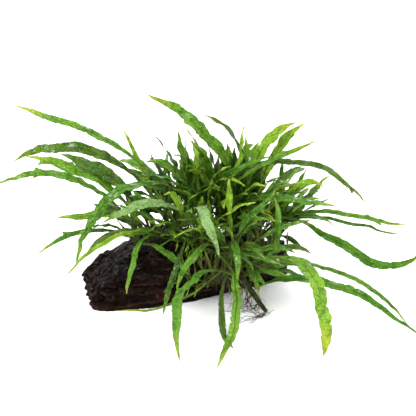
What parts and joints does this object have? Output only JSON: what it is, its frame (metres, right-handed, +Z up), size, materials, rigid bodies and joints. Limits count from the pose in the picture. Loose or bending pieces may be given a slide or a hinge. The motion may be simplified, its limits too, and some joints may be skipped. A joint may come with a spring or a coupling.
{
  "type": "java fern on driftwood",
  "caption": "Java fern with long strap-like fronds arching every way from creeping rhizomes on a dark, wedge-shaped piece of driftwood that rests on its flat underside",
  "frame": {"origin": "middle of the driftwood's flat underside, on the surface it rests on", "axes": "+X to the right along the length of the whole plant, +Y to the back, +Z up"},
  "size_m": [0.2805, 0.2102, 0.1389],
  "materials": {
    "wood": "wet, dark, fibrous",
    "rhizome": "scaly, satin",
    "roots": "wiry, matte",
    "frond": "fresh leaf, wet satin"
  },
  "bodies": {
    "root": {"driftwood": "wood", "frond_back_01": "frond", "frond_back_02": "frond", "frond_back_03": "frond", "frond_back_04": "frond", "frond_back_05": "frond", "frond_back_06": "frond", "frond_back_07": "frond", "frond_front_01": "frond", "frond_front_03": "frond", "frond_front_04": "frond", "frond_front_05": "frond", "frond_front_06": "frond", "frond_front_07": "frond", "frond_front_08": "frond", "frond_front_09": "frond", "frond_front_10": "frond", "frond_front_12": "frond", "frond_front_15": "frond", "frond_front_16": "frond", "frond_front_17": "frond", "frond_front_18": "frond", "frond_front_19": "frond", "frond_front_20": "frond", "frond_front_21": "frond", "frond_left_01": "frond", "frond_left_02": "frond", "frond_left_03": "frond", "frond_left_04": "frond", "frond_left_05": "frond", "frond_left_06": "frond", "frond_left_07": "frond", "frond_left_08": "frond", "frond_left_09": "frond", "frond_left_10": "frond", "frond_left_11": "frond", "frond_left_12": "frond", "frond_left_13": "frond", "frond_right_01": "frond", "frond_right_02": "frond", "frond_right_03": "frond", "frond_right_04": "frond", "frond_right_05": "frond", "frond_right_06": "frond", "frond_right_07": "frond", "frond_right_08": "frond", "frond_right_09": "frond", "frond_right_10": "frond", "frond_right_11": "frond", "frond_top_01": "frond", "frond_top_02": "frond", "frond_top_03": "frond", "frond_top_04": "frond", "frond_top_05": "frond", "frond_top_06": "frond", "frond_top_07": "frond", "frond_top_08": "frond", "rhizome_back": "rhizome", "rhizome_front": "rhizome", "roots": "roots"}
  },
  "joints": []
}
